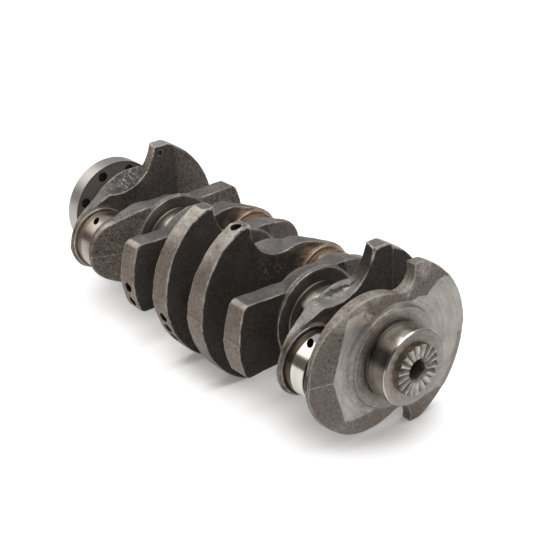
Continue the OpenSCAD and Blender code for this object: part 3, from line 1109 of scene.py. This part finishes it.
def milledSerration():
    look = serrationLook
    material, tree, shader = startMaterial("milledSerration")
    place = placeOf(tree)
    x = axesOf(tree, place)[0]
    radius = radiusOf(tree, place)
    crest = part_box("nose_serration")[1].x
    scratch = noiseOf(tree, place, look["scratchScale"], 3.0, 0.6)
    smudge = noiseOf(tree, place, look["smudgeScale"], 4.0, 0.6)
    high = remap(tree, x, crest - look["rootDepth"], crest - look["crestDepth"])
    flank = times(tree, remap(tree, radius, *look["stainRadius"]), sideMask(tree, *look["stainTurn"]))
    # painted shade: the roots of the teeth are darkened
    base = blend(tree, high, look["root"], look["tooth"])
    base = blend(tree, flank, base, look["stain"])
    base = shaded(tree, base, remap(tree, scratch, *look["scratches"]))
    base = shaded(tree, base, remap(tree, smudge, *look["smudge"]))
    # painted shade: the wall of the bore is painted dark
    bore = times(tree, remap(tree, radius, *look["boreRadius"]), sideMask(tree, *look["boreTurn"]))
    thread = shaded(tree, look["bore"], remap(tree, smudge, *look["thread"]))
    base = blend(tree, bore, base, thread)
    metal = lerp(tree, bore, look["toothMetal"], look["boreMetal"])
    rough = remap(tree, scratch, *look["roughness"])
    normal = bumpOf(tree, scratch, look["scratchStrength"], look["scratchDepth"])
    fillShader(tree, shader, base, metal, rough, normal)
    return material


# turned rings round the journals: dark ground steel with bright circles near the edge, and at
# crankpin_1 darker still as painted shade in its undercut
ringLook = {
    "tones": {
        "main": (0.150, 0.132, 0.118),
        # painted shade: crankpin_1's ring is the darkest
        "crankpin_1": (0.075, 0.062, 0.052),
        "crankpin_2": (0.40, 0.285, 0.205),
        "crankpin_3": (0.34, 0.245, 0.178),
        "crankpin_4": (0.24, 0.20, 0.165),
    },
    "edge": (0.74, 0.70, 0.66),
    "edgeShare": 0.8,
    "edgeRadius": 0.0008,
    "metal": 0.7,
    "roughness": 0.38,
    "mainLip": 0.0093,
    "pinLip": 0.0022,
    "bite": 0.003,
    "depth": 0.0040,
    "proud": 0.00035,
    "chamfer": 0.0006,
    "sides": 128,
    "sharpAngle": 30,
    "pitch": 0.0009,
    "circles": (0.2, 0.9),
    "circleBreaks": (0.4, 0.6, 0.2, 0.8),
    "lined": 0.0026,
    "smearScale": 140.0,
    "smear": (0.3, 0.7, 0.75, 1.25),
}


def turnedRing(name, tone, middle, outer):
    look = ringLook
    material, tree, shader = startMaterial("turnedRing_" + name)
    place = placeOf(tree)
    away = awayFrom(tree, *axesOf(tree, place)[1:], (middle.y, middle.z))
    smear = noiseOf(tree, place, look["smearScale"], 4.0, 0.6)
    inward = minus(tree, outer, away)
    wave = calc(tree, "SINE", times(tree, inward, 2 * math.pi / look["pitch"]))
    lined = remap(tree, away, outer - look["lined"], outer - look["lined"] / 2)
    lined = times(tree, remap(tree, wave, *look["circles"]), lined)
    lined = times(tree, lined, remap(tree, smear, *look["circleBreaks"]))
    rounded, wornAndLit = edgeWear(tree, look["edgeRadius"])
    base = shaded(tree, tone, remap(tree, smear, *look["smear"]))
    bright = larger(tree, times(tree, wornAndLit, look["edgeShare"]), lined)
    base = blend(tree, bright, base, look["edge"])
    fillShader(tree, shader, base, look["metal"], look["roughness"], rounded)
    return material


# one ring, lathed round a journal's end and facing along the shaft
def makeRing(name, place, radius, inner, way, material):
    look = ringLook
    proud, depth, chamfer = look["proud"], look["depth"], look["chamfer"]
    profile = [
        (proud, inner),
        (proud, radius - chamfer),
        (proud - chamfer, radius),
        (-depth, radius),
        (-depth, inner),
    ]
    points = []
    faces = []
    sides = look["sides"]
    count = len(profile)
    for side in range(sides):
        angle = 2 * math.pi * side / sides
        turned = Vector((0.0, math.cos(angle), math.sin(angle)))
        for along, out in profile:
            points.append(place + Vector((way * along, 0.0, 0.0)) + out * turned)
    for side in range(sides):
        here = side * count
        after = (side + 1) % sides * count
        for step in range(count):
            other = (step + 1) % count
            face = (here + step, after + step, after + other, here + other)
            faces.append(face if way < 0 else face[::-1])
    mesh = bpy.data.meshes.new(name)
    mesh.from_pydata(points, [], faces)
    mesh.materials.append(material)
    mesh.validate()
    ring = bpy.data.objects.new(name, mesh)
    scene.collection.objects.link(ring)
    mesh.shade_smooth()
    mesh.set_sharp_from_angle(angle=math.radians(look["sharpAngle"]))
    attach(ring, "root")


def makeRings():
    look = ringLook
    for name in nodes:
        isMain = name.startswith("main_journal")
        if not isMain and not name.startswith("crankpin"):
            continue
        low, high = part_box(name)
        middle = (low + high) / 2
        radius = (high.z - low.z) / 2
        outer = radius + (look["mainLip"] if isMain else look["pinLip"])
        inner = radius - look["bite"]
        isNose = name == "main_journal_1"
        isLast = name == "main_journal_5"
        if isNose:
            material = finishes["web_1"]  # its ring is the collar of the turned front web
        else:
            tone = look["tones"]["main" if isMain else name]
            material = turnedRing(name, tone, middle, outer)
            front = Vector((high.x, middle.y, middle.z))
            makeRing(name + "_front_ring", front, outer, inner, -1, material)
        if not isLast:
            rear = Vector((low.x, middle.y, middle.z))
            makeRing(name + "_rear_ring", rear, outer, inner, 1, material)


# forged webs: softened edges, small fillets and the slight unevenness of a forging
webShapeLook = {
    "weld": 0.000002,
    "cell": 0.0009,
    "passes": 5,
    "share": 0.5,
    "uneven": 0.0008,
    "unevenSize": 0.013,
}


def softenForging(name):
    look = webShapeLook
    web = nodes[name]
    weld = web.modifiers.new("weld", "WELD")
    weld.merge_threshold = look["weld"]
    cells = web.modifiers.new("cells", "REMESH")
    cells.mode = "VOXEL"
    cells.voxel_size = look["cell"]
    cells.use_smooth_shade = True
    soft = web.modifiers.new("soft", "SMOOTH")
    soft.factor = look["share"]
    soft.iterations = look["passes"]
    if name == "web_1":  # its face is turned flat
        return
    hollows = bpy.data.textures.get("hollows") or bpy.data.textures.new("hollows", "CLOUDS")
    hollows.noise_scale = look["unevenSize"]
    hollows.noise_depth = 2
    uneven = web.modifiers.new("uneven", "DISPLACE")
    uneven.texture = hollows
    uneven.texture_coords = "LOCAL"
    uneven.strength = look["uneven"]


def dress(name, material):
    slots = nodes[name].data.materials
    slots.clear()
    slots.append(material)


finishes = {
    "nose_serration": milledSerration(),
    "web_1": turnedFrontWeb(),
    "flywheel_flange": groundFlange(),
}
for name in nodes:
    if name in finishes:
        dress(name, finishes[name])
    elif name in webLooks:
        dress(name, forgedSteel(name))
    else:
        dress(name, groundSteel(name))
for name in nodes:
    if name.startswith("web_"):
        softenForging(name)
makeRings()
print("crankshaft: webs, rings and materials made")

# pale floor under the counterweights; its glow is dimmed where they come close to it, a painted
# contact shadow
floorLook = {
    "colour": (0.72, 0.72, 0.72),
    "lift": 0.62,
    "mirrored": 0.65,
    "contact": 0.065,
    "contactRange": (0.40, 0.67),
    "contactTone": 0.25,
    "size": 40.0,
}


def floorMaterial():
    look = floorLook
    material, tree = emptyMaterial("paleFloor")
    matt = addNode(tree, "ShaderNodeBsdfDiffuse", {"Color": (*look["colour"], 1.0)})
    glow = addNode(tree, "ShaderNodeEmission")
    path = addNode(tree, "ShaderNodeLightPath")
    mirrored = larger(tree, path.outputs["Is Glossy Ray"], path.outputs["Is Transmission Ray"])
    seen = larger(tree, path.outputs["Is Camera Ray"], times(tree, mirrored, look["mirrored"]))
    # painted shadow: the glow dims near the object by ambient occlusion
    clear = addNode(tree, "ShaderNodeAmbientOcclusion", {"Distance": look["contact"]}, samples=16)
    clear = remap(tree, clear.outputs["AO"], *look["contactRange"], look["contactTone"], 1.0)
    tree.links.new(times(tree, seen, look["lift"], clear), glow.inputs["Strength"])
    both = addNode(tree, "ShaderNodeAddShader", links={0: matt.outputs[0], 1: glow.outputs[0]})
    output = addNode(tree, "ShaderNodeOutputMaterial")
    tree.links.new(both.outputs[0], output.inputs["Surface"])
    return material


def makeFloor():
    mesh = bpy.data.meshes.new("floor")
    half = floorLook["size"] / 2
    level = cadLow.z
    corners = [(-half, -half, level), (half, -half, level), (half, half, level), (-half, half, level)]
    mesh.from_pydata(corners, [], [(0, 1, 2, 3)])
    mesh.materials.append(floorMaterial())
    floor = bpy.data.objects.new("floor", mesh)
    scene.collection.objects.link(floor)


# soft studio: a grey room, darker and warmer near the horizon and towards one corner,
# with a large soft box overhead and one behind for the highlights
roomLook = {
    "horizon": (0.20, 0.175, 0.15),
    "wall": (0.44, 0.43, 0.42),
    "ceiling": (0.58, 0.58, 0.58),
    "wallFrom": 0.10,
    "wallTo": 0.30,
    "corner": (-0.66, -0.70, 0.26),
    "cornerRange": (0.74, 0.95),
    "paintedCornerShade": (0.14, 0.120, 0.102),
}
softBoxes = {
    "overhead": {"place": (0.42, 0.14, 1.6), "size": 1.6, "power": 13.0, "tone": (1.0, 0.99, 0.975)},
    "rear": {"place": (-1.15, -0.48, 1.15), "size": 1.3, "power": 7.4, "tone": (1.0, 0.985, 0.96)},
}


def makeRoom():
    look = roomLook
    world = bpy.data.worlds.new("greyRoom")
    scene.world = world
    world.use_nodes = True
    tree = world.node_tree
    tree.nodes.clear()
    toward = addNode(tree, "ShaderNodeTexCoord").outputs["Generated"]
    height = axesOf(tree, toward)[2]
    low = remap(tree, height, look["wallFrom"], look["wallTo"])
    high = remap(tree, height, look["wallTo"], 1.0)
    colour = blend(tree, low, look["horizon"], look["wall"])
    colour = blend(tree, high, colour, look["ceiling"])
    along = addNode(tree, "ShaderNodeVectorMath", links={0: toward}, operation="DOT_PRODUCT")
    along.inputs[1].default_value = look["corner"]
    cornered = remap(tree, along.outputs["Value"], *look["cornerRange"])
    colour = blend(tree, cornered, colour, look["paintedCornerShade"])
    sky = addNode(tree, "ShaderNodeBackground", links={"Color": colour})
    output = addNode(tree, "ShaderNodeOutputWorld")
    tree.links.new(sky.outputs[0], output.inputs["Surface"])


def makeSoftBox(name):
    look = softBoxes[name]
    lamp = bpy.data.lights.new(name + "SoftBox", "AREA")
    lamp.shape = "SQUARE"
    lamp.size = look["size"]
    lamp.energy = look["power"]
    lamp.color = look["tone"]
    box = bpy.data.objects.new(name + "SoftBox", lamp)
    place = Vector(look["place"])
    facing = (-place).to_track_quat("-Z", "Y").to_matrix().to_4x4()
    box.matrix_world = Matrix.Translation(place) @ facing
    scene.collection.objects.link(box)


makeFloor()
makeRoom()
for name in softBoxes:
    makeSoftBox(name)
print("crankshaft: floor and lights made")

# camera at the photograph's viewing angle, in metres and along the shaft's own axes
cameraLook = {
    "place": (0.6870, -0.5286, 0.4430),
    "right": (0.63061, 0.77563, -0.02705),
    "up": (-0.33068, 0.30006, 0.89477),
    "lens": 84.87,
    "sensor": 36.0,
    "rise": 0.0006,
}


def makeCamera():
    look = cameraLook
    right, up = Vector(look["right"]).normalized(), Vector(look["up"]).normalized()
    back = right.cross(up)
    data = bpy.data.cameras.new("photoCamera")
    data.lens = look["lens"]
    data.sensor_width = look["sensor"]
    data.shift_y = -look["rise"]
    camera = bpy.data.objects.new("photoCamera", data)
    turn = Matrix((right, up, back)).transposed().to_4x4()
    camera.matrix_world = Matrix.Translation(look["place"]) @ turn
    scene.collection.objects.link(camera)
    scene.camera = camera


makeCamera()
print("crankshaft: camera set")
